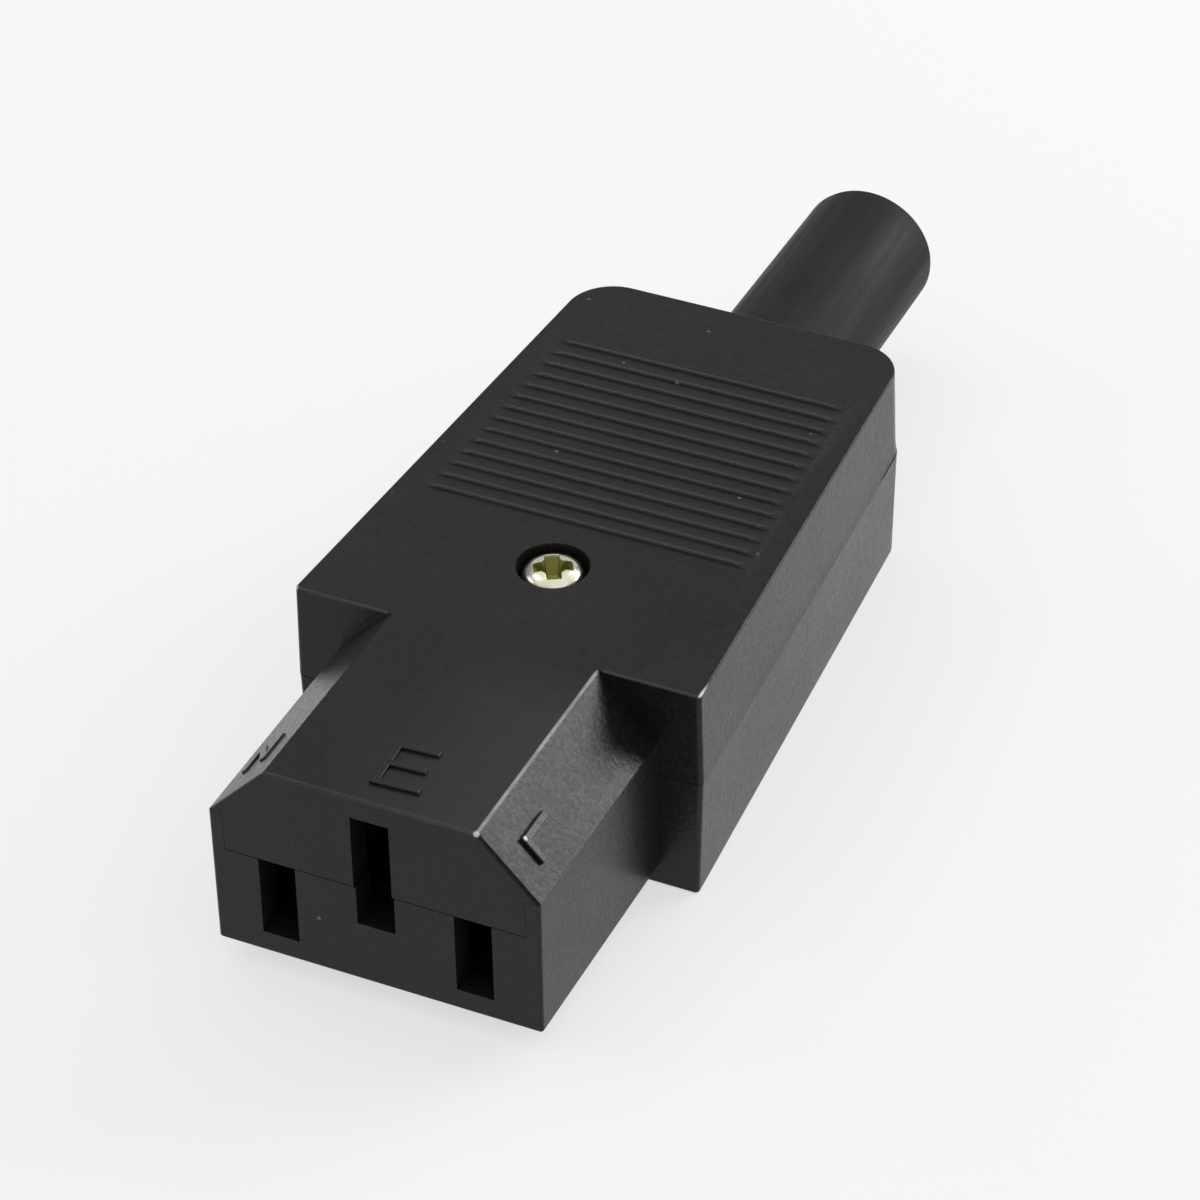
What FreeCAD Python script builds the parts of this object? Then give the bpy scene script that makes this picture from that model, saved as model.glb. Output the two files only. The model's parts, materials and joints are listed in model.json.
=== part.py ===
import FreeCAD, Part
import math
import os
from FreeCAD import Vector

os.makedirs("parts", exist_ok=True)

# Rewirable line socket: two moulded shells, a flexible cord sleeve, three brass contacts with
# screw terminals and a cord clamp. Millimetres. +Z up, the nose (mating end) faces -Y, the cord
# sleeve +Y. Stations along the length are written as s, measured back from the nose's front face.

# ---------------------------------------------------------------- outside
LENGTH = 83.42            # nose front face to sleeve end
NOSE_L = 18.09            # nose front face to shoulder
NOSE_HW = 11.78           # nose half width at the lower edge of the chamfers
NOSE_HW_BOTTOM = 11.72    # nose half width at its underside
NOSE_TOP_HW = 7.50        # half width of the flat roof between the chamfers
NOSE_Z0 = 1.63            # nose underside
NOSE_ZC = 12.37           # lower edge of the chamfers
TOP_Z = 16.86             # roof of nose and body
BODY_END = 59.86          # rear face of the body
BODY_FRONT_HW = (14.57, 14.89, 14.75)   # half widths at the shoulder: underside, parting plane, top
BODY_REAR_HW = (11.90, 12.44, 12.34)    # half widths at the rear face
RIM_STEP = 0.03           # the upper rim stands this much proud of the lower one
REAR_CORNER_R = (1.40, 2.50, 3.00, 3.50)   # rear corners: underside, rims of the lower and upper shell, roof
PARTING_Z = 9.43
GAP = 0.06                # between the two shells, at the parting plane
FIT = 0.02                # between them where the upper nose nests in the lower one's flanks
FLANK_X = 10.75           # inside of the lower shell's nose flanks
RIM_FLARE = 0.10          # the upper rim spreads this much more at the rear, over RIM_FLARE_H
RIM_FLARE_H = 1.10
EDGE_R = 0.32             # body edges
ROOF_EDGE_R = 0.14        # the crisper edges round the body's roof
NOSE_EDGE_R = 0.26        # nose edges

# ---------------------------------------------------------------- mating slots
SLOT_X = 7.00             # line and neutral pin centres, each side of the middle
SLOT_W = 2.66
SLOT_Z0 = 3.30
EARTH_W = 2.74
EARTH_Z0, EARTH_Z1 = 6.45, 15.22
EARTH_SHIFT = 0.07        # lateral step of the earth slot at the parting plane
FRONT_WALL = 2.00

# ---------------------------------------------------------------- inside
FLOOR_Z = 1.80
CEIL_Z = 15.06
CAV_S0, CAV_S1 = 20.10, 53.80
CAV_LOW_HW = (12.40, 10.20)   # wiring chamber half widths, front and rear, lower shell
CAV_UP_HW = (12.60, 10.60)    # the same, upper shell

# ---------------------------------------------------------------- housing screw and nut
SCREW_S = 27.15
SCREW_R = 1.45
SCREW_HOLE_R = 1.65
HEAD_R = 2.12
HEAD_SEAT_Z = 14.70
HEAD_EDGE_Z, HEAD_TOP_Z = 16.05, 16.90
RECESS_R = 2.53
BOSS_R = 3.60
NUT_AF = 5.50
NUT_Z0, NUT_Z1 = 0.65, 3.05

# ---------------------------------------------------------------- contacts and terminals
STRIP_T = 0.55
TERM_X, TERM_S = 8.70, 27.00          # line and neutral terminal screws
TERM_PLATE_Z = 6.05
EARTH_TERM_S = 18.60
EARTH_PLATE_Z = 7.50
TAP_R = 1.50
TSCREW_R = 1.42
TSCREW_HEAD_R = 2.55
TSCREW_HEAD_H = 1.70
SADDLE_T = 0.80

# ---------------------------------------------------------------- cord clamp and sleeve
CLAMP_X, CLAMP_S = 7.60, 49.50
CLAMP_POST_Z = 7.40
SLEEVE_Z = 8.60
SLEEVE_R0, SLEEVE_R1 = 5.35, 5.17     # outside radius at the body and at the free end
SLEEVE_BORE_R = 3.80
FLANGE_R = 6.60
FLANGE_S0, FLANGE_S1 = 55.50, 57.60

# ---------------------------------------------------------------- grip ribs
RIB_COUNT = 14
RIB_S0, RIB_PITCH = 32.13, 1.499
RIB_H = 0.125
RIB_SECTION = (-0.235, -0.17, -0.02, 0.42)   # foot and crest of the steep front, start and foot of the long rear slope
RIB_EASE = (0.08, 0.50)   # rounding of the front crest and of the break into the rear slope
RIB_INSET = 1.90          # from the side of the body to the ends of the ribs
RIB_RUN_OUT = 1.20        # length over which each end fades into the roof
MARK_EASE = 0.08          # the same along the top of the pole marks

Y0 = LENGTH / 2


def P(x, s, z):
    return Vector(x, s - Y0, z)


def box(x0, x1, s0, s1, z0, z1):
    return Part.makeBox(x1 - x0, s1 - s0, z1 - z0, P(x0, s0, z0))


def post(x, s, r, z0, z1):
    return Part.makeCylinder(r, z1 - z0, P(x, s, z0), Vector(0, 0, 1))


def rod(r, s0, s1, z):
    return Part.makeCylinder(r, s1 - s0, P(0, s0, z), Vector(0, 1, 0))


def face_of(points):
    return Part.Face(Part.makePolygon(points + [points[0]]))


def along_y(pts, s0, s1):
    return face_of([P(x, s0, z) for x, z in pts]).extrude(Vector(0, s1 - s0, 0))


def along_z(pts, z0, z1):
    return face_of([P(x, s, z0) for x, s in pts]).extrude(Vector(0, 0, z1 - z0))


def along_x(pts, x0, x1):
    return face_of([P(x0, s, z) for s, z in pts]).extrude(Vector(x1 - x0, 0, 0))


def both_sides(shape):
    return [shape, shape.mirror(Vector(0, 0, 0), Vector(1, 0, 0))]


def mirrored(shape):
    return shape.mirror(Vector(0, 0, 0), Vector(1, 0, 0))


def save(shape, node):
    shape = shape.removeSplitter()
    solids = shape.Solids
    if len(solids) != 1 or not solids[0].isValid():
        raise RuntimeError("%s: %d solids, valid %s" % (node, len(solids), shape.isValid()))
    solids[0].exportStep("parts/%s.step" % node)
    b = solids[0].BoundBox
    print("%-26s vol %9.2f  x %7.2f %7.2f  y %7.2f %7.2f  z %6.2f %6.2f"
          % (node, solids[0].Volume, b.XMin, b.XMax, b.YMin, b.YMax, b.ZMin, b.ZMax))
    return solids[0]


# ================================================================ outer forms
def body_plan(front_hw, rear_hw, z, r):
    """Closed plan outline of the body at one height: square front corners, round rear ones."""
    p0, p1 = P(front_hw, NOSE_L, z), P(rear_hw, BODY_END, z)
    u = (p1 - p0).normalize()
    w = Vector(-1, 0, 0)
    angle = math.acos((u * -1).dot(w))
    t = r / math.tan(angle / 2)
    b = (u * -1 + w).normalize()
    c = p1 + b * (r / math.sin(angle / 2))
    t1, t2, m = p1 - u * t, p1 + w * t, c - b * r

    def left(v):
        return Vector(-v.x, v.y, v.z)

    return Part.Wire([
        Part.LineSegment(left(p0), p0).toShape(),
        Part.LineSegment(p0, t1).toShape(),
        Part.Arc(t1, m, t2).toShape(),
        Part.LineSegment(t2, left(t2)).toShape(),
        Part.Arc(left(t2), left(m), left(t1)).toShape(),
        Part.LineSegment(left(t1), left(p0)).toShape(),
    ])


def edges_where(shape, test):
    out = []
    for e in shape.Edges:
        pts = [v.Point for v in e.Vertexes]
        if len(pts) == 2 and test(pts):
            out.append(e)
    return out


def near(a, b):
    return abs(a - b) < 1e-4


def eased(solid, z_top, r):
    """Rounds every edge that lies in the plane z = z_top."""
    return solid.makeFillet(r, edges_where(solid, lambda p: all(near(q.z, z_top) for q in p)))


def body_half(sections, edge_r):
    """Loft through plan outlines (z, half widths, rear corner radius), the parting plane first and the
    closed end last; the front corners are rounded, then the closed end's rim by edge_r."""
    z_end = sections[-1][0]
    wires = [body_plan(hw[0], hw[1], z, r) for z, hw, r in sorted(sections)]
    solid = Part.makeLoft(wires, True, True)
    front = NOSE_L - Y0
    solid = solid.makeFillet(EDGE_R, edges_where(
        solid, lambda p: all(near(q.y, front) for q in p) and not near(p[0].z, p[1].z)))
    return eased(solid, z_end, edge_r)


lower_body = body_half([(PARTING_Z, (BODY_FRONT_HW[1] - RIM_STEP, BODY_REAR_HW[1] - RIM_STEP), REAR_CORNER_R[1]),
                        (0.0, (BODY_FRONT_HW[0], BODY_REAR_HW[0]), REAR_CORNER_R[0])], EDGE_R)
flare = RIM_FLARE_H / (TOP_Z - PARTING_Z - GAP)
upper_body = body_half([(PARTING_Z + GAP, (BODY_FRONT_HW[1], BODY_REAR_HW[1] + RIM_FLARE), REAR_CORNER_R[2]),
                        (PARTING_Z + GAP + RIM_FLARE_H,
                         tuple(a + (b - a) * flare for a, b in ((BODY_FRONT_HW[1], BODY_FRONT_HW[2]),
                                                                (BODY_REAR_HW[1], BODY_REAR_HW[2]))),
                         REAR_CORNER_R[2] + (REAR_CORNER_R[3] - REAR_CORNER_R[2]) * flare),
                        (TOP_Z, (BODY_FRONT_HW[2], BODY_REAR_HW[2]), REAR_CORNER_R[3])], ROOF_EDGE_R)

# Nose of the lower shell: floor block up to the parting plane, and two flanks that rise outside
# the upper shell as far as the chamfers.
front_y = -Y0
nose_block = along_y([(-NOSE_HW_BOTTOM, NOSE_Z0), (NOSE_HW_BOTTOM, NOSE_Z0),
                      (NOSE_HW, NOSE_ZC - FIT), (FLANK_X, NOSE_ZC - FIT), (FLANK_X, PARTING_Z),
                      (-FLANK_X, PARTING_Z), (-FLANK_X, NOSE_ZC - FIT), (-NOSE_HW, NOSE_ZC - FIT)],
                     0.0, NOSE_L - FIT)
nose_block = nose_block.makeFillet(NOSE_EDGE_R, edges_where(
    nose_block, lambda p: (all(near(q.z, NOSE_Z0) for q in p) and not all(q.y > front_y + 1 for q in p))
    or (all(near(q.y, front_y) for q in p) and all(abs(q.x) > 11.6 for q in p) and p[0].x * p[1].x > 0)))
nose_root = box(-NOSE_HW_BOTTOM, NOSE_HW_BOTTOM, NOSE_L - 2.0, NOSE_L + 2.0, NOSE_Z0 + 0.4, PARTING_Z)

# Nose of the upper shell: nested between the flanks, with the two chamfers above them.
nest = FLANK_X - FIT
nose_roof = along_y([(-nest, PARTING_Z + GAP), (nest, PARTING_Z + GAP), (nest, NOSE_ZC), (NOSE_HW, NOSE_ZC),
                     (NOSE_TOP_HW, TOP_Z), (-NOSE_TOP_HW, TOP_Z), (-NOSE_HW, NOSE_ZC), (-nest, NOSE_ZC)],
                    0.0, NOSE_L + 2.0)
nose_roof = nose_roof.makeFillet(NOSE_EDGE_R, edges_where(
    nose_roof, lambda p: (all(near(q.z, TOP_Z) for q in p) and not all(q.y > front_y + 1 for q in p))
    or (all(near(q.y, front_y) for q in p) and max(q.z for q in p) > TOP_Z - 0.1)))

# ================================================================ lower shell
lower = lower_body.fuse([nose_block, nose_root]).removeSplitter()

cuts = [along_z([(-CAV_LOW_HW[0], CAV_S0), (CAV_LOW_HW[0], CAV_S0),
                 (CAV_LOW_HW[1], CAV_S1), (-CAV_LOW_HW[1], CAV_S1)], FLOOR_Z, PARTING_Z + 1)]
# Contact chambers and mating slots.
cuts += both_sides(box(SLOT_X - 2.4, SLOT_X + 2.4, FRONT_WALL, CAV_S0 + 0.1, 3.0, PARTING_Z + 1))
cuts += both_sides(box(SLOT_X - SLOT_W / 2, SLOT_X + SLOT_W / 2, -1, FRONT_WALL + 0.5, SLOT_Z0, PARTING_Z + 1))
cuts += [box(-2.6, 2.6, FRONT_WALL, 13.8, 6.2, PARTING_Z + 1),
         box(-3.8, 3.8, 13.7, CAV_S0 + 0.1, EARTH_PLATE_Z - 0.05, PARTING_Z + 1),
         box(EARTH_SHIFT - EARTH_W / 2, EARTH_SHIFT + EARTH_W / 2, -1, FRONT_WALL + 0.5, EARTH_Z0, PARTING_Z + 1)]
# Cord way: inner wall, groove for the sleeve's flange, rear wall. Straight sides above the axis.
for r, s0, s1 in ((4.4, CAV_S1 - 0.5, 55.5), (FLANGE_R + 0.15, 55.4, 57.7), (SLEEVE_R0 + 0.10, 57.6, BODY_END + 1)):
    cuts += [rod(r, s0, s1, SLEEVE_Z), box(-r, r, s0, s1, SLEEVE_Z, PARTING_Z + 1)]
cuts += both_sides(box(8.2, 10.0, 55.3, 57.4, FLOOR_Z + 0.4, PARTING_Z + 1))
lower = lower.cut(cuts)

adds = [post(0, SCREW_S, BOSS_R, FLOOR_Z - 0.2, PARTING_Z),
        box(-3.4, 3.4, CAV_S0 - 0.3, 22.3, FLOOR_Z - 0.2, EARTH_PLATE_Z - 0.05)]
adds += both_sides(box(4.15, 5.00, CAV_S0 - 0.3, 33.0, FLOOR_Z - 0.2, PARTING_Z - 0.30))
adds += both_sides(box(4.6, 12.35, 22.0, 23.2, FLOOR_Z - 0.2, TERM_PLATE_Z - 0.05))
adds += both_sides(box(4.6, 11.80, 30.2, 31.4, FLOOR_Z - 0.2, TERM_PLATE_Z - 0.05))
adds += both_sides(post(CLAMP_X, CLAMP_S, 2.5, FLOOR_Z - 0.2, CLAMP_POST_Z))
adds += both_sides(box(9.3, 10.9, CLAMP_S - 0.8, CLAMP_S + 0.8, FLOOR_Z - 0.2, CLAMP_POST_Z - 0.9))
cradle = [box(-4.6, 4.6, s, s + 0.9, FLOOR_Z - 0.2, 6.0) for s in (47.9, 50.2)]
adds += [c.cut(rod(3.9, 46, 53, SLEEVE_Z)) for c in cradle]
# Locating lip along both side walls, inside the upper shell's rebate.
adds += both_sides(along_z([(12.38, 21.0), (13.15, 21.0), (11.02, 53.0), (10.25, 53.0)],
                           PARTING_Z - 0.6, PARTING_Z + 1.0))
lower = lower.fuse(adds)

hex_pts = [(NUT_AF / 2 + 0.06) / math.cos(math.pi / 6)]
hex_pocket = along_z([(hex_pts[0] * math.cos(math.pi / 3 * i), SCREW_S + hex_pts[0] * math.sin(math.pi / 3 * i))
                      for i in range(6)], -1.0, NUT_Z1 + 0.05)
cuts = [post(0, SCREW_S, SCREW_HOLE_R, -1, PARTING_Z + 1), hex_pocket,
        post(0, EARTH_TERM_S, 2.6, 4.0, EARTH_PLATE_Z)]
cuts += both_sides(post(CLAMP_X, CLAMP_S, 1.45, 2.6, CLAMP_POST_Z + 1))
lower = lower.cut(cuts)
save(lower, "lower_shell")

# ================================================================ upper shell
upper = upper_body.fuse(nose_roof).removeSplitter()

cuts = [along_z([(-CAV_UP_HW[0], CAV_S0), (CAV_UP_HW[0], CAV_S0),
                 (CAV_UP_HW[1], CAV_S1), (-CAV_UP_HW[1], CAV_S1)], PARTING_Z - 1, CEIL_Z),
        box(-2.6, 2.6, FRONT_WALL, 13.9, PARTING_Z - 1, 15.30),
        box(-3.8, 3.8, 13.8, CAV_S0 + 0.1, PARTING_Z - 1, CEIL_Z),
        box(-EARTH_SHIFT - EARTH_W / 2, -EARTH_SHIFT + EARTH_W / 2, -1, FRONT_WALL + 0.5, PARTING_Z - 1, EARTH_Z1)]
cuts += both_sides(box(4.9, 9.6, 6.0, 17.0, PARTING_Z - 1, 11.8))
cuts += [rod(4.4, CAV_S1 - 0.5, 55.5, SLEEVE_Z), rod(FLANGE_R + 0.15, 55.4, 57.7, SLEEVE_Z),
         rod(SLEEVE_R0 + 0.10, 57.6, BODY_END + 1, SLEEVE_Z)]
cuts += both_sides(box(8.2, 10.2, 55.3, 57.4, PARTING_Z - 1, CEIL_Z - 0.4))
cuts += both_sides(along_z([(12.2, 20.8), (13.28, 20.8), (11.15, 53.2), (10.1, 53.2)],
                           PARTING_Z - 1, PARTING_Z + 1.15))
# The joint opens a little towards the rear, away from the screw.
cuts += [along_x([(52.0, PARTING_Z), (BODY_END + 1, PARTING_Z), (BODY_END + 1, PARTING_Z + GAP + 0.40),
                  (54.5, PARTING_Z + GAP + 0.30), (52.0, PARTING_Z + GAP)], -16.0, 16.0)]
upper = upper.cut(cuts)

adds = [post(0, SCREW_S, BOSS_R, PARTING_Z + GAP, CEIL_Z + 0.2)]
# Hold-down ribs over the three contacts.
adds += both_sides(box(5.5, 8.5, 12.0, 13.2, 8.80, 12.0)) + [box(-1.9, 1.9, 11.4, 12.6, 12.90, 15.5)]


def grip_rib(s, half):
    """One rib across the roof: steep front, long rear slope, both ends fading into the roof."""
    a, b, c, d = (s + v for v in RIB_SECTION)
    crest = TOP_Z + RIB_H
    rib = along_x([(a, TOP_Z - 0.15), (d, TOP_Z - 0.15), (d, TOP_Z), (c, crest), (b, crest), (a, TOP_Z)], -half, half)
    for at, r in ((b, RIB_EASE[0]), (c, RIB_EASE[1])):
        rib = rib.makeFillet(r, edges_where(
            rib, lambda p: all(near(q.z, crest) and near(q.y, at - Y0) for q in p)))
    run = half - RIB_RUN_OUT
    return rib.common(along_y([(-half, TOP_Z - 0.15), (half, TOP_Z - 0.15), (half, TOP_Z), (run, crest + 0.01),
                               (-run, crest + 0.01), (-half, TOP_Z)], a - 0.1, d + 0.1))


# Grip ribs, following the taper of the body.
for i in range(RIB_COUNT):
    s = RIB_S0 + i * RIB_PITCH
    k = (s - NOSE_L) / (BODY_END - NOSE_L)
    adds.append(grip_rib(s, BODY_FRONT_HW[2] + (BODY_REAR_HW[2] - BODY_FRONT_HW[2]) * k - RIB_INSET))

# Raised pole marks: E on the roof, L and N on the chamfers, each one outline with an eased top.
slope = math.degrees(math.atan2(TOP_Z - NOSE_ZC, NOSE_HW - NOSE_TOP_HW))


def mark(pts, height, angle, x, z):
    """A raised mark drawn flat, first coordinate across the nose, then laid on a roof or chamfer."""
    shape = face_of([Vector(t, s - Y0, -0.15) for t, s in pts]).extrude(Vector(0, 0, 0.15 + height))
    shape = eased(shape, height, MARK_EASE)
    shape.rotate(Vector(0, 0, 0), Vector(0, 1, 0), angle)
    shape.translate(Vector(x, 0, z))
    return shape


e_mark = mark([(-0.95, 1.78), (2.45, 1.78), (2.45, 2.30), (-0.40, 2.30), (-0.40, 3.73), (2.05, 3.73), (2.05, 4.25),
               (-0.40, 4.25), (-0.40, 5.61), (2.20, 5.61), (2.20, 6.13), (-0.95, 6.13)], 0.22, 0, 0, TOP_Z)
e_mark.rotate(P(-0.40, 3.8, TOP_Z), Vector(0, 0, 1), 3.0)
adds.append(e_mark)
adds.append(mark([(2.52, 2.54), (4.65, 2.54), (4.65, 3.09), (3.09, 3.09), (3.09, 5.60), (2.52, 5.60)],
                 0.31, slope, NOSE_TOP_HW, TOP_Z))
adds.append(mark([(1.40, 3.05), (1.92, 3.05), (1.92, 4.95), (3.42, 3.05), (4.00, 3.05), (4.00, 5.78), (3.48, 5.78),
                  (3.48, 3.88), (1.98, 5.78), (1.40, 5.78)], 0.14, -slope, -NOSE_HW, NOSE_ZC))
upper = upper.fuse(adds)
upper = upper.cut([post(0, SCREW_S, SCREW_HOLE_R, PARTING_Z - 1, TOP_Z + 1),
                   post(0, SCREW_S, RECESS_R, HEAD_SEAT_Z - 0.05, TOP_Z + 1)])
save(upper, "upper_shell")


# ================================================================ fasteners
def turned(profile, x, s):
    """Solid of revolution about a vertical axis; profile is a closed list of (r, z)."""
    shape = face_of([Vector(r, 0, z) for r, z in profile]).revolve(Vector(0, 0, 0), Vector(0, 0, 1), 360)
    shape.translate(P(x, s, 0))
    return shape


def dome(r, z0, edge_h, crown_h, n=7):
    """Points of a domed head's outside, from its lower edge to the crown on the axis."""
    pts = [(r - 0.12, z0), (r, z0 + 0.14), (r, z0 + edge_h)]
    for i in range(1, n + 1):
        a = math.pi / 2 * i / n
        pts.append((r * math.cos(a) if i < n else 0.0, z0 + edge_h + crown_h * math.sin(a)))
    return pts


def cross_recess(x, s, z_top, depth, arm, width, turn):
    """Tapered cross-shaped driver recess."""
    wires = []
    for z, a, w in ((z_top + 0.3, arm * 1.12, width * 1.06), (z_top - depth, arm * 0.42, width * 0.70)):
        h = w / 2
        pts = [(a, -h), (a, h), (h, h), (h, a), (-h, a), (-h, h), (-a, h), (-a, -h), (-h, -h), (-h, -a), (h, -a), (h, -h)]
        wires.append(Part.makePolygon([Vector(px, py, z) for px, py in pts + [pts[0]]]))
    tool = Part.makeLoft(wires, True, True)
    tip = Part.makeCone(width * 0.50, width * 0.95, depth + 0.3, Vector(0, 0, z_top - depth - 0.05), Vector(0, 0, 1))
    tool = tool.fuse(tip)
    tool.rotate(Vector(0, 0, 0), Vector(0, 0, 1), turn)
    tool.translate(P(x, s, 0))
    return tool


# Pan head: straight edge, then a full round over to a nearly flat crown.
head_pts = [(HEAD_R - 0.12, HEAD_SEAT_Z), (HEAD_R, HEAD_SEAT_Z + 0.14), (HEAD_R, HEAD_EDGE_Z)]
for i in range(1, 13):
    a = math.pi / 2 * i / 12
    head_pts.append((HEAD_R * math.cos(a) ** 0.72 if i < 12 else 0.0,
                     HEAD_EDGE_Z + (HEAD_TOP_Z - HEAD_EDGE_Z) * math.sin(a)))
screw = turned([(0, NUT_Z0), (SCREW_R - 0.35, NUT_Z0), (SCREW_R, NUT_Z0 + 0.35), (SCREW_R, HEAD_SEAT_Z)] + head_pts, 0, SCREW_S)
screw = screw.cut(cross_recess(0, SCREW_S, HEAD_TOP_Z, 1.35, 1.48, 1.08, 29))
save(screw, "housing_screw")

nut_r = NUT_AF / 2 / math.cos(math.pi / 6)
nut = along_z([(nut_r * math.cos(math.pi / 3 * i), SCREW_S + nut_r * math.sin(math.pi / 3 * i)) for i in range(6)],
              NUT_Z0, NUT_Z1)
bevel = turned([(0, NUT_Z0), (NUT_AF / 2 - 0.05, NUT_Z0), (nut_r + 0.05, NUT_Z0 + 0.30), (nut_r + 0.05, NUT_Z1 - 0.30),
                (NUT_AF / 2 - 0.05, NUT_Z1), (0, NUT_Z1)], 0, SCREW_S)
bore = turned([(0, NUT_Z0 - 0.1), (1.85, NUT_Z0 - 0.1), (1.50, NUT_Z0 + 0.25), (1.50, NUT_Z1 - 0.25),
               (1.85, NUT_Z1 + 0.1), (0, NUT_Z1 + 0.1)], 0, SCREW_S)
save(nut.common(bevel).cut(bore), "housing_nut")


def pan_screw(x, s, z_seat, tip_z, r, head_r, head_h, slot_turn, pointed=False):
    """Round-head slotted screw, head on z_seat, shank down to tip_z."""
    tip = [(0, tip_z), (0.35, tip_z), (r, tip_z + 1.3)] if pointed else [(0, tip_z), (r - 0.3, tip_z), (r, tip_z + 0.3)]
    pts = dome(head_r, z_seat, head_h * 0.52, head_h * 0.48, 5)
    solid = turned(tip + [(r, z_seat)] + pts, x, s)
    slot = box(-head_r - 1, head_r + 1, -0.36, 0.36, z_seat + head_h - 0.85, z_seat + head_h + 1)
    slot.translate(Vector(0, Y0, 0))
    slot.rotate(Vector(0, 0, 0), Vector(0, 0, 1), slot_turn)
    slot.translate(P(x, s, 0))
    return solid.cut(slot)


def saddle(x, s, z):
    """Square wire clamp plate with turned-down edges and corners eased."""
    plate = box(x - 2.6, x + 2.6, s - 2.6, s + 2.6, z, z + SADDLE_T)
    corners = edges_where(plate, lambda p: not near(p[0].z, p[1].z))
    plate = plate.makeFillet(0.5, corners)
    return plate.cut(post(x, s, 1.60, z - 1, z + 2))


# ================================================================ contacts
def leaf_pair(x, z0, z1):
    """Two spring leaves that flare at the mouth and pinch the pin between them."""
    line = [(6.45, 1.55), (7.2, 1.18), (8.2, 0.88), (9.4, 1.02), (11.0, 1.32), (14.6, 1.32)]
    outer = [(s, d + STRIP_T) for s, d in line]
    pts = [(x + d, s) for s, d in line] + [(x + d, s) for s, d in reversed(outer)]
    pts2 = [(x - d, s) for s, d in line] + [(x - d, s) for s, d in reversed(outer)]
    return [along_z(pts, z0, z1), along_z(pts2, z0, z1)]


def side_contact():
    web = box(SLOT_X - 1.87, SLOT_X + 1.87, 10.8, 21.2, 3.05, 3.05 + STRIP_T)
    walls = [box(SLOT_X + a, SLOT_X + a + STRIP_T, 10.8, 14.6, 3.05, 8.7) for a in (-1.87, 1.32)]
    riser = box(SLOT_X - 1.87, SLOT_X + 1.87, 21.2 - STRIP_T, 21.2, 3.05, TERM_PLATE_Z + STRIP_T)
    plate = along_z([(SLOT_X - 1.87, 20.65), (SLOT_X + 1.87, 20.65), (11.40, 23.0), (11.40, 31.0), (5.75, 31.0), (5.75, 23.0)],
                    TERM_PLATE_Z, TERM_PLATE_Z + STRIP_T)
    collar = post(TERM_X, TERM_S, 2.25, TERM_PLATE_Z - 1.0, TERM_PLATE_Z + 0.1)
    shape = web.fuse(leaf_pair(SLOT_X, 4.3, 8.7) + walls + [riser, plate, collar])
    return shape.cut(post(TERM_X, TERM_S, TAP_R, 0, 10))


def earth_contact():
    z = EARTH_PLATE_Z
    web = box(-1.87, 1.87, 10.8, 15.0, z, z + STRIP_T)
    walls = [box(a, a + STRIP_T, 10.8, 13.4, z, 12.8) for a in (-1.87, 1.32)]
    leaves = [f.cut(box(-5, 5, 13.4, 20, 0, 20)) for f in leaf_pair(0, 8.4, 12.8)]
    plate = along_z([(-1.87, 14.2), (1.87, 14.2), (3.3, 15.6), (3.3, 22.1), (-3.3, 22.1), (-3.3, 15.6)], z, z + STRIP_T)
    collar = post(0, EARTH_TERM_S, 2.25, z - 1.0, z + 0.1)
    shape = web.fuse(leaves + walls + [plate, collar])
    return shape.cut(post(0, EARTH_TERM_S, TAP_R, 0, 10))


live = side_contact()
save(live, "live_contact")
save(mirrored(live), "neutral_contact")
save(earth_contact(), "earth_contact")

side_saddle_z = TERM_PLATE_Z + STRIP_T + 0.05
earth_saddle_z = EARTH_PLATE_Z + STRIP_T + 0.05
for node, x, s, z, tip, turn in (("live", TERM_X, TERM_S, side_saddle_z, 3.2, 20),
                                 ("neutral", -TERM_X, TERM_S, side_saddle_z, 3.2, -35),
                                 ("earth", 0.0, EARTH_TERM_S, earth_saddle_z, 4.6, 62)):
    save(saddle(x, s, z), node + "_wire_saddle")
    save(pan_screw(x, s, z + SADDLE_T + 0.03, tip, TSCREW_R, TSCREW_HEAD_R, TSCREW_HEAD_H, turn), node + "_terminal_screw")

# ================================================================ cord clamp
bar_z0, bar_z1 = CLAMP_POST_Z + 0.05, CLAMP_POST_Z + 1.55
bar = box(-9.8, 9.8, CLAMP_S - 2.1, CLAMP_S + 2.1, bar_z0, bar_z1)
bar = bar.makeFillet(2.0, edges_where(bar, lambda p: not near(p[0].z, p[1].z)))
bar = bar.fuse([box(-3.4, 3.4, CLAMP_S - 0.45, CLAMP_S + 0.45, bar_z0 - 0.8, bar_z0 + 0.1)])
bar = bar.cut(both_sides(post(CLAMP_X, CLAMP_S, 1.60, 0, 20)))
save(bar, "cord_clamp_bar")
for node, x, turn in (("left", -CLAMP_X, 70), ("right", CLAMP_X, 15)):
    save(pan_screw(x, CLAMP_S, bar_z1 + 0.03, 3.0, 1.38, 2.55, 1.70, turn, True), "cord_clamp_screw_" + node)

# ================================================================ cord sleeve
E = LENGTH
r_at = lambda s: SLEEVE_R0 + (SLEEVE_R1 - SLEEVE_R0) * (s - BODY_END) / (LENGTH - BODY_END)
prof = [(SLEEVE_BORE_R, FLANGE_S0), (FLANGE_R, FLANGE_S0), (FLANGE_R, FLANGE_S1), (SLEEVE_R0, FLANGE_S1),
        (SLEEVE_R0, BODY_END), (SLEEVE_R1 + 0.005, E - 0.45), (SLEEVE_R1 - 0.10, E - 0.14), (SLEEVE_R1 - 0.38, E),
        (SLEEVE_BORE_R + 0.25, E), (SLEEVE_BORE_R, E - 0.25)]
sleeve = face_of([P(r, s, SLEEVE_Z) for r, s in prof]).revolve(P(0, 0, SLEEVE_Z), Vector(0, 1, 0), 360)
save(sleeve, "cord_sleeve")
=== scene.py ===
import bpy
import json
import math
from mathutils import Matrix, Vector

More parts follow.
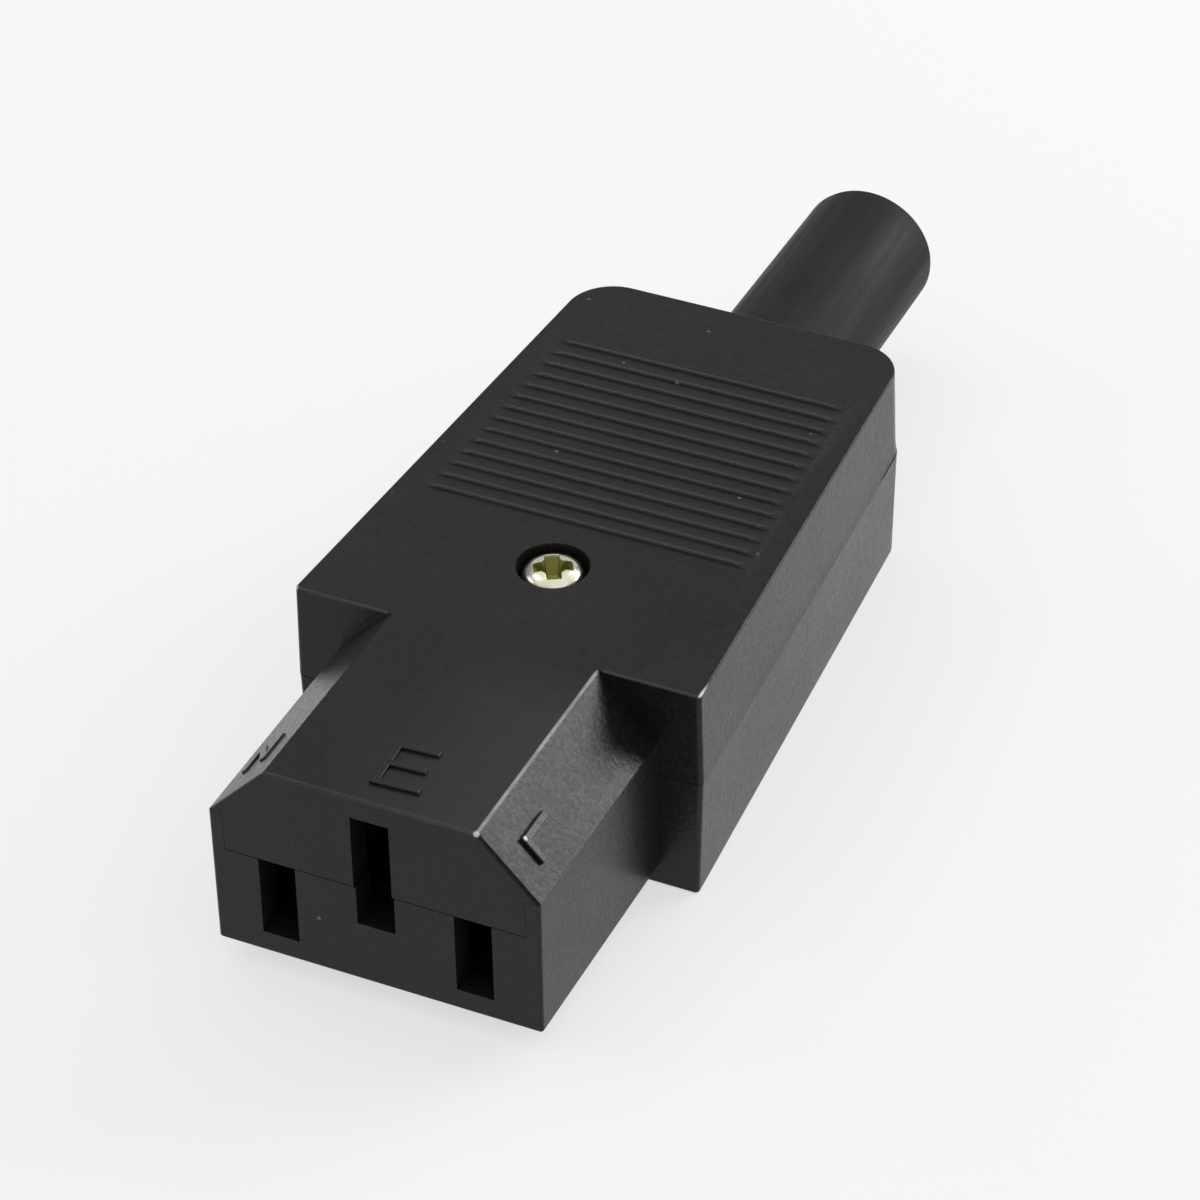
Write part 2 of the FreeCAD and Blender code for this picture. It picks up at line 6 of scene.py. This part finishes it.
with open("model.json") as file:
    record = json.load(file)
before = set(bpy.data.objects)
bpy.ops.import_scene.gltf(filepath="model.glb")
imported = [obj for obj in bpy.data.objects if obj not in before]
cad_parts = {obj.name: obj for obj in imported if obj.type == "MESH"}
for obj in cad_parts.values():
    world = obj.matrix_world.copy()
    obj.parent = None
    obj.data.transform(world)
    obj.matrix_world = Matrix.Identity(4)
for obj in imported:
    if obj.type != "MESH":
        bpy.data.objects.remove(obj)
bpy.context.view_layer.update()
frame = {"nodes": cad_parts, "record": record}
nodes = frame["nodes"]


# ---------------------------------------------------------------- node helpers
class Tree:
    """A small wrapper that adds shader nodes and links in one line each."""

    def __init__(self, name):
        self.mat = bpy.data.materials.new(name)
        self.mat.use_nodes = True
        self.nt = self.mat.node_tree
        self.nt.nodes.clear()
        self.out = self.nt.nodes.new("ShaderNodeOutputMaterial")
        self.bsdf = self.nt.nodes.new("ShaderNodeBsdfPrincipled")
        self.link(self.bsdf.outputs["BSDF"], self.out.inputs["Surface"])
        self.coord = self.nt.nodes.new("ShaderNodeTexCoord").outputs["Object"]

    def link(self, a, b):
        self.nt.links.new(a, b)

    def new(self, kind, **props):
        n = self.nt.nodes.new(kind)
        for k, v in props.items():
            setattr(n, k, v)
        return n

    def set(self, **values):
        for k, v in values.items():
            self.bsdf.inputs[k.replace("_", " ")].default_value = v

    def scaled(self, scale):
        m = self.new("ShaderNodeMapping")
        m.inputs["Scale"].default_value = scale if hasattr(scale, "__len__") else (scale,) * 3
        self.link(self.coord, m.inputs["Vector"])
        return m.outputs["Vector"]

    def noise(self, scale, detail=3.0, rough=0.55, stretch=None, distortion=0.0):
        n = self.new("ShaderNodeTexNoise")
        n.inputs["Scale"].default_value = 1.0
        n.inputs["Detail"].default_value = detail
        n.inputs["Roughness"].default_value = rough
        n.inputs["Distortion"].default_value = distortion
        s = (scale,) * 3 if stretch is None else tuple(scale * k for k in stretch)
        self.link(self.scaled(s), n.inputs["Vector"])
        return n.outputs["Fac"]

    def specks(self, scale, radius, share):
        """Small round spots in a share of the cells of a grid of points: 1 in a spot, 0 elsewhere."""
        n = self.new("ShaderNodeTexVoronoi", feature="F1")
        n.inputs["Scale"].default_value = 1.0
        self.link(self.scaled(scale), n.inputs["Vector"])
        pick = self.new("ShaderNodeSeparateColor")
        self.link(n.outputs["Color"], pick.inputs[0])
        spot = self.remap(n.outputs["Distance"], radius * scale * 0.45, radius * scale, 1.0, 0.0)
        return self.math("MULTIPLY", spot, self.math("LESS_THAN", pick.outputs[0], share))

    def away(self, centre, axes=(1.0, 1.0, 1.0)):
        """Distance in metres from a point, or from a line where one axis is left out."""
        m = self.new("ShaderNodeVectorMath", operation="SUBTRACT")
        self.link(self.coord, m.inputs[0])
        m.inputs[1].default_value = centre
        k = self.new("ShaderNodeVectorMath", operation="MULTIPLY")
        self.link(m.outputs["Vector"], k.inputs[0])
        k.inputs[1].default_value = axes
        d = self.new("ShaderNodeVectorMath", operation="LENGTH")
        self.link(k.outputs["Vector"], d.inputs[0])
        return d.outputs["Value"]

    def axis(self, i):
        n = self.new("ShaderNodeSeparateXYZ")
        self.link(self.coord, n.inputs[0])
        return n.outputs[i]

    def remap(self, value, lo, hi, to_lo=0.0, to_hi=1.0):
        n = self.new("ShaderNodeMapRange", clamp=True)
        for k, v in (("From Min", lo), ("From Max", hi), ("To Min", to_lo), ("To Max", to_hi)):
            n.inputs[k].default_value = v
        self.link(value, n.inputs["Value"])
        return n.outputs["Result"]

    def math(self, op, a, b):
        n = self.new("ShaderNodeMath", operation=op)
        for i, v in enumerate((a, b)):
            if isinstance(v, (int, float)):
                n.inputs[i].default_value = v
            else:
                self.link(v, n.inputs[i])
        return n.outputs[0]

    def mix(self, fac, a, b):
        n = self.new("ShaderNodeMix", data_type="RGBA")
        self.link(fac, n.inputs["Factor"]) if not isinstance(fac, (int, float)) else None
        if isinstance(fac, (int, float)):
            n.inputs["Factor"].default_value = fac
        for sock, v in ((n.inputs[6], a), (n.inputs[7], b)):
            if isinstance(v, tuple):
                sock.default_value = v + (1.0,) if len(v) == 3 else v
            else:
                self.link(v, sock)
        return n.outputs[2]

    def bump(self, height, strength, distance, normal=None):
        n = self.new("ShaderNodeBump")
        n.inputs["Strength"].default_value = strength
        n.inputs["Distance"].default_value = distance
        self.link(height, n.inputs["Height"])
        if normal is not None:
            self.link(normal, n.inputs["Normal"])
        return n.outputs["Normal"]

    def rounded(self, radius, samples=6):
        n = self.new("ShaderNodeBevel", samples=samples)
        n.inputs["Radius"].default_value = radius
        return n.outputs["Normal"]

    def edge_mask(self, rounded, lo=0.02, hi=0.30):
        """How far the rounded normal leaves the true one: 1 on scuffed edges, 0 on flat faces."""
        geo = self.new("ShaderNodeNewGeometry")
        d = self.new("ShaderNodeVectorMath", operation="DOT_PRODUCT")
        self.link(rounded, d.inputs[0])
        self.link(geo.outputs["Normal"], d.inputs[1])
        return self.remap(d.outputs["Value"], 1.0 - lo, 1.0 - hi)

    def colour(self, socket):
        self.link(socket, self.bsdf.inputs["Base Color"])

    def roughness(self, socket):
        self.link(socket, self.bsdf.inputs["Roughness"])

    def normal(self, socket):
        self.link(socket, self.bsdf.inputs["Normal"])


# ---------------------------------------------------------------- materials
NOSE_FRONT, SHOULDER = -0.04171, -0.02362      # along Y
RIDGE_X, RIDGE_Z = 0.00750, 0.01686            # right-hand edge between the nose's roof and chamfer
CHAMFER_N = (0.724, 0.690)                     # the right-hand chamfer's normal in X and Z
BODY_HW, BODY_TAPER = 0.01475, 0.0577          # half width of the body's roof at the shoulder, and its loss per length


def moulded_plastic(name, dark, light, rough, grain=1.0, dust_rub_and_painted_light=False):
    """Spark-eroded black moulding: fine even grain, slight handling sheen, a few pale specks of dust,
    and on the shells painted light: a painted sheen on the nose's roof towards its right-hand ridge, painted
    highlights along that ridge, at the nose's front corner, at the L mark's corner and at the body's front corners,
    painted highlight lines along the front roof edges, and the L mark's face lightened, partly rubbing wear, partly
    painted highlight."""
    t = Tree(name)
    fine = t.noise(2700, 2.0, 0.6)
    coarse = t.noise(1100, 3.0, 0.55)
    cloud = t.noise(95, 4.0, 0.55)
    base = t.mix(t.remap(t.math("ADD", t.math("MULTIPLY", fine, 0.55), t.math("MULTIPLY", cloud, 0.45)), 0.36, 0.64), dark, light)
    r = t.math("ADD", t.remap(fine, 0.3, 0.7, rough - 0.05, rough + 0.06), t.remap(cloud, 0.3, 0.7, -0.03, 0.03))
    n = t.bump(coarse, 0.34 * grain, 0.00003)
    grained = t.bump(fine, 1.0 * grain, 0.00003, n)
    # the shells get dust specks, some rubbing wear on the L mark, and painted highlights and a painted sheen
    if dust_rub_and_painted_light:
        on_roof = t.math("MULTIPLY", t.math("GREATER_THAN", t.axis(2), RIDGE_Z - 0.0001),
                         t.math("GREATER_THAN", t.axis(1), SHOULDER + 0.012))
        dust = t.math("MULTIPLY", t.specks(420, 0.00017, 0.8), on_roof)
        spot = t.remap(t.away((-0.00412, NOSE_FRONT, 0.00590)), 0.00009, 0.00019, 1.0, 0.0)
        base = t.mix(t.math("MULTIPLY", t.math("MAXIMUM", dust, spot), 0.75), base, (0.150, 0.145, 0.147))
        # painted highlight: a lighter, glossier line along the nose's right-hand ridge, standing in for the light
        # caught on that edge
        line = t.remap(t.away((RIDGE_X, 0.0, RIDGE_Z), (1.0, 0.0, 1.0)), 0.00008, 0.00014, 1.0, 0.0)
        line = t.math("MULTIPLY", line, t.remap(t.axis(1), SHOULDER - 0.0005, SHOULDER, 1.0, 0.0))
        line = t.math("MULTIPLY", line, t.remap(t.noise(520, 3.0, 0.6), 0.34, 0.62, 0.60, 1.0))
        # raised marks on the right-hand chamfer (the L) are lightened: partly rubbing wear, partly a painted highlight
        face = t.math("ADD", t.math("MULTIPLY", t.axis(0), CHAMFER_N[0]), t.math("MULTIPLY", t.axis(2), CHAMFER_N[1]))
        face = t.math("SUBTRACT", face, RIDGE_X * CHAMFER_N[0] + RIDGE_Z * CHAMFER_N[1])
        mark = t.math("MULTIPLY", t.remap(face, 0.00020, 0.00029, 0.0, 0.12),
                      t.math("LESS_THAN", t.axis(1), SHOULDER - 0.002))
        # painted highlights: glints at the nose's front right corner and at the corner of the L mark
        corner = t.remap(t.away((RIDGE_X - 0.00002, NOSE_FRONT + 0.00010, RIDGE_Z - 0.00008)), 0.00014, 0.00027, 1.0, 0.0)
        tip = t.remap(t.away((0.00957, NOSE_FRONT + 0.00272, 0.01513)), 0.00010, 0.00022, 1.0, 0.0)
        painted_glints = t.math("MAXIMUM", corner, tip)
        # painted sheen: the nose's roof is painted lighter towards its right-hand ridge, as if lit from that side
        sheen = t.math("MULTIPLY", t.remap(t.axis(0), -0.0030, 0.0072), t.math("LESS_THAN", t.axis(0), 0.0080))
        sheen = t.math("MULTIPLY", sheen, t.math("GREATER_THAN", t.axis(2), RIDGE_Z - 0.0002))
        sheen = t.math("MULTIPLY", sheen, t.remap(t.axis(1), SHOULDER - 0.0060, SHOULDER - 0.0005, 1.0, 0.0))
        base = t.mix(sheen, base, t.mix(0.5, base, (0.046, 0.044, 0.045)))
        # painted highlights at the body's front top corners: a spot with a short streak on the right (nib), a smaller
        # spot on the left (far)
        nib = t.remap(t.away((0.01466, 0.0, 0.01682), (1.0, 0.0, 1.0)), 0.00006, 0.00014, 1.0, 0.0)
        nib = t.math("MULTIPLY", nib, t.remap(t.axis(1), SHOULDER + 0.0005, SHOULDER + 0.0017, 1.0, 0.0))
        nib = t.math("MULTIPLY", nib, t.math("GREATER_THAN", t.axis(1), SHOULDER))
        far = t.remap(t.away((-0.01466, SHOULDER + 0.00010, 0.01681)), 0.00010, 0.00024, 0.8, 0.0)
        painted_glints = t.math("MAXIMUM", painted_glints, t.math("MAXIMUM", nib, far))
        # painted highlight lines along the front edges of the body's roof (brow) and of the nose's roof (lip)
        brow = t.remap(t.away((0.0, SHOULDER + 0.00004, RIDGE_Z - 0.00004), (0.0, 1.0, 1.0)), 0.00007, 0.00015, 0.11, 0.0)
        brow = t.math("MULTIPLY", brow, t.math("GREATER_THAN", t.math("ABSOLUTE", t.axis(0), 0.0), 0.0078))
        lip = t.remap(t.away((0.0, NOSE_FRONT + 0.00007, RIDGE_Z - 0.00007), (0.0, 1.0, 1.0)), 0.00010, 0.00020, 0.08, 0.0)
        # all the painted highlights above, with the L mark's partial rubbing wear, lighten the colour, lower the
        # roughness and smooth the grain
        painted_light_and_rub = t.math("MAXIMUM", t.math("MAXIMUM", line, mark), t.math("MAXIMUM", painted_glints, t.math("MAXIMUM", brow, lip)))
        base = t.mix(painted_light_and_rub, base, t.mix(painted_glints, (0.360, 0.352, 0.354), (0.640, 0.630, 0.630)))
        r = t.math("SUBTRACT", r, t.math("MULTIPLY", painted_light_and_rub, 0.14))
        out = t.math("ADD", t.math("ABSOLUTE", t.axis(0), 0.0), t.math("MULTIPLY", t.math("SUBTRACT", t.axis(1), SHOULDER), BODY_TAPER))
        rim = t.math("MULTIPLY", t.remap(out, BODY_HW - 0.0005, BODY_HW - 0.0002), t.remap(t.axis(2), RIDGE_Z - 0.0006, RIDGE_Z - 0.0003))
        rim = t.math("MULTIPLY", rim, t.math("GREATER_THAN", t.axis(1), SHOULDER - 0.0002))
        level = t.new("ShaderNodeMix", data_type="VECTOR")
        t.link(t.math("MAXIMUM", painted_light_and_rub, rim), level.inputs["Factor"])
        t.link(grained, level.inputs[4])
        t.link(t.new("ShaderNodeNewGeometry").outputs["Normal"], level.inputs[5])
        grained = level.outputs[1]
    t.colour(base)
    t.roughness(r)
    t.normal(grained)
    t.set(IOR=1.50, Specular_IOR_Level=0.235, Specular_Tint=(1.0, 0.985, 0.955, 1.0))
    t.set(Sheen_Weight=0.05, Sheen_Roughness=0.25, Sheen_Tint=(1.0, 0.91, 0.70, 1.0))
    return t.mat


def flexible_sleeve():
    """Soft black moulding: smoother than the shells, with faint drag lines along its length."""
    t = Tree("sleeve_rubber")
    fine = t.noise(3600, 2.0, 0.6)
    cloud = t.noise(140, 4.0, 0.6)
    drag = t.noise(900, 3.0, 0.6, stretch=(1.0, 0.05, 1.0))
    edge_n = t.rounded(0.0002)
    edge = t.edge_mask(edge_n)
    base = t.mix(t.remap(t.math("ADD", t.math("MULTIPLY", cloud, 0.6), t.math("MULTIPLY", drag, 0.4)), 0.36, 0.64),
                 (0.0065, 0.0063, 0.0066), (0.0145, 0.0140, 0.0146))
    t.colour(t.mix(t.math("MULTIPLY", edge, 0.35), base, (0.050, 0.050, 0.050)))
    t.roughness(t.math("ADD", t.remap(drag, 0.3, 0.7, 0.44, 0.66), t.remap(cloud, 0.3, 0.7, -0.03, 0.03)))
    n = t.bump(drag, 0.75, 0.00003, edge_n)
    t.normal(t.bump(fine, 1.0, 0.00003, n))
    t.set(IOR=1.50, Specular_IOR_Level=0.20)
    t.set(Sheen_Weight=0.05, Sheen_Roughness=0.25, Sheen_Tint=(1.0, 0.91, 0.70, 1.0))
    return t.mat


HEAD_Y, HEAD_R = -0.01456, 0.00212             # the housing screw's axis and head
HEAD_EDGE_Z, HEAD_RISE = 0.01605, 0.00085


def plated(name, bright, tint, rough, tint_amount, scratch=1.0, recess=None):
    """Zinc plate with a passivated tint in clouds, fine turning marks and bright scuffed edges; where
    recess is given, the passivation lies thick and olive below the domed head's surface."""
    t = Tree(name)
    cloud = t.noise(620, 4.0, 0.6, distortion=0.4)
    fine = t.noise(6500, 3.0, 0.6)
    marks = t.noise(3200, 2.0, 0.5, stretch=(1.0, 1.0, 6.0))
    edge_n = t.rounded(0.00009)
    edge = t.edge_mask(edge_n, 0.03, 0.35)
    base = t.mix(t.remap(cloud, 0.38, 0.66, 0.0, tint_amount), bright, tint)
    base = t.mix(t.remap(fine, 0.60, 0.82, 0.0, 0.35), base, tuple(c * 0.55 for c in tint))
    base = t.mix(t.math("MULTIPLY", edge, 0.55), base, tuple(min(1.0, c * 1.12) for c in bright))
    r = t.math("ADD", t.remap(cloud, 0.3, 0.7, rough - 0.05, rough + 0.07), t.remap(fine, 0.4, 0.8, 0.0, 0.10))
    if recess is not None:
        out = t.math("DIVIDE", t.away((0.0, HEAD_Y, 0.0), (1.0, 1.0, 0.0)), HEAD_R)
        dome = t.math("SQRT", t.math("MAXIMUM", t.math("SUBTRACT", 1.0, t.math("POWER", out, 2.778)), 0.0), 0.0)
        below = t.math("SUBTRACT", t.math("ADD", t.math("MULTIPLY", dome, HEAD_RISE), HEAD_EDGE_Z), t.axis(2))
        deep = t.math("MULTIPLY", t.remap(below, 0.00005, 0.00018), t.remap(out, 0.80, 0.86, 1.0, 0.0))
        deep = t.math("MULTIPLY", deep, t.math("GREATER_THAN", t.axis(2), 0.0150))
        base = t.mix(deep, base, recess)
        r = t.math("ADD", r, t.math("MULTIPLY", deep, 0.22))
    t.colour(base)
    t.roughness(r)
    n = t.bump(marks, 0.10 * scratch, 0.000012, edge_n)
    t.normal(t.bump(fine, 0.14 * scratch, 0.000008, n))
    t.set(Metallic=1.0)
    return t.mat


def brass_strip():
    """Rolled brass: lines along the strip, warm tarnish in clouds, bright sheared edges."""
    t = Tree("contact_brass")
    rolled = t.noise(2600, 3.0, 0.6, stretch=(1.0, 0.04, 1.0))
    cloud = t.noise(260, 4.0, 0.6)
    edge_n = t.rounded(0.00008)
    edge = t.edge_mask(edge_n, 0.03, 0.35)
    base = t.mix(t.remap(cloud, 0.36, 0.66), (0.80, 0.60, 0.27), (0.58, 0.40, 0.17))
    base = t.mix(t.remap(rolled, 0.55, 0.80, 0.0, 0.35), base, (0.40, 0.28, 0.12))
    t.colour(t.mix(t.math("MULTIPLY", edge, 0.5), base, (0.90, 0.72, 0.38)))
    t.roughness(t.remap(t.math("ADD", t.math("MULTIPLY", rolled, 0.5), t.math("MULTIPLY", cloud, 0.5)), 0.35, 0.65, 0.20, 0.36))
    t.normal(t.bump(rolled, 0.12, 0.00001, edge_n))
    t.set(Metallic=1.0)
    return t.mat


shell = moulded_plastic("shell_plastic", (0.0080, 0.0074, 0.0078), (0.0145, 0.0135, 0.0142), 0.30, dust_rub_and_painted_light=True)
sleeve = flexible_sleeve()
screw_plate = plated("plated_screw", (0.82, 0.80, 0.70), (0.62, 0.57, 0.33), 0.22, 0.55, recess=(0.34, 0.34, 0.095))
steel = plated("terminal_steel", (0.72, 0.72, 0.70), (0.52, 0.54, 0.56), 0.28, 0.5)
brass = brass_strip()
clamp = moulded_plastic("clamp_plastic", (0.030, 0.030, 0.031), (0.046, 0.046, 0.047), 0.50, 0.6)

LOOK = {"shell_plastic": shell, "sleeve_rubber": sleeve, "plated_screw": screw_plate,
        "terminal_steel": steel, "contact_brass": brass, "clamp_plastic": clamp}
SLOT_OF = {p["node"]: p["material_slot"] for p in frame["record"]["subparts"]}

for name, obj in nodes.items():
    me = obj.data
    me.materials.clear()
    me.materials.append(LOOK[SLOT_OF[name]])
    for p in me.polygons:
        p.use_smooth = True
        p.material_index = 0
    weld = obj.modifiers.new("weld", "WELD")
    weld.merge_threshold = 2e-7
    split = obj.modifiers.new("creases", "EDGE_SPLIT")
    split.split_angle = math.radians(24)
    split.use_edge_sharp = False
    split.use_edge_angle = True
    even = obj.modifiers.new("even_normals", "WEIGHTED_NORMAL")
    even.mode = "FACE_AREA"
    even.weight = 100
    even.keep_sharp = True


# ---------------------------------------------------------------- floor
def plain_floor():
    me = bpy.data.meshes.new("floor")
    s = 3.0
    z = -0.00002          # a hair under the object's flat underside
    me.from_pydata([(-s, -s, z), (s, -s, z), (s, s, z), (-s, s, z)], [], [(0, 1, 2, 3)])
    ob = bpy.data.objects.new("floor", me)
    bpy.context.scene.collection.objects.link(ob)
    t = Tree("pale_floor")
    cloud = t.noise(3.0, 3.0, 0.5)
    t.colour(t.mix(t.remap(cloud, 0.3, 0.7), (0.285, 0.285, 0.285), (0.295, 0.295, 0.295)))
    t.set(Roughness=0.85, Specular_IOR_Level=0.2, Emission_Color=(1.0, 1.0, 1.0, 1.0), Emission_Strength=0.645)
    me.materials.append(t.mat)
    return ob


plain_floor()


# ---------------------------------------------------------------- light
def softbox(name, where, size, power, colour=(1.0, 1.0, 1.0), along=None, look_at=(0.0, 0.0, 0.008)):
    """A soft rectangular light facing the object; along is the way its first side runs."""
    data = bpy.data.lights.new(name, "AREA")
    data.shape = "RECTANGLE"
    data.size, data.size_y = size
    data.energy = power
    data.color = colour
    ob = bpy.data.objects.new(name, data)
    back = (Vector(where) - Vector(look_at)).normalized()
    side = Vector(along) if along else Vector((0.0, 0.0, 1.0)).cross(back) if abs(back.z) < 0.99 else Vector((1.0, 0.0, 0.0))
    side = (side - back * side.dot(back)).normalized()
    ob.matrix_world = Matrix.Translation(where) @ Matrix((side, back.cross(side), back)).transposed().to_4x4()
    ob.visible_camera = False
    bpy.context.scene.collection.objects.link(ob)
    return ob


softbox("overhead", (0.05, 0.00, 0.90), (1.70, 1.70), 6.1)
softbox("rear", (-0.46, 1.00, 0.82), (1.00, 0.44), 0.42)
softbox("upper_left", (-0.50, 0.12, 0.75), (0.18, 0.18), 0.40)
softbox("left", (-0.80, -0.17, 0.44), (0.42, 0.42), 0.9)
softbox("front", (-0.34, -0.90, 0.34), (0.90, 0.50), 0.70)
softbox("key", (0.44, 0.48, 0.26), (0.34, 0.26), 1.95, (1.0, 0.985, 1.0))
softbox("ridge", (0.208, 0.576, 0.480), (0.366, 0.05), 0.8, along=(0.336, 0.0, -0.144))
softbox("backdrop", (-0.40, 1.00, 0.26), (0.90, 0.36), 0.50)

world = bpy.data.worlds.new("studio")
world.use_nodes = True
bg = next(n for n in world.node_tree.nodes if n.type == "BACKGROUND")
bg.inputs["Color"].default_value = (1.0, 1.0, 1.0, 1.0)
bg.inputs["Strength"].default_value = 0.25
bpy.context.scene.world = world

# ---------------------------------------------------------------- camera
RIGHT = Vector((0.9078882, 0.4189271, -0.0154638))
DOWN = Vector((0.2420085, -0.5538812, -0.7966477))
AHEAD = Vector((-0.3423024, 0.7195246, -0.6042461))
cam_data = bpy.data.cameras.new("camera")
cam_data.sensor_fit = "HORIZONTAL"
cam_data.sensor_width = 36.0
cam_data.lens = 142.999
cam_data.clip_start, cam_data.clip_end = 0.02, 20.0
cam = bpy.data.objects.new("camera", cam_data)
turn = Matrix((RIGHT, -DOWN, -AHEAD)).transposed().to_4x4()
cam.matrix_world = Matrix.Translation((0.1123835, -0.2435743, 0.2073366)) @ turn
bpy.context.scene.collection.objects.link(cam)
bpy.context.scene.camera = cam

bpy.context.scene.view_settings.view_transform = "Standard"
bpy.context.scene.view_settings.look = "None"
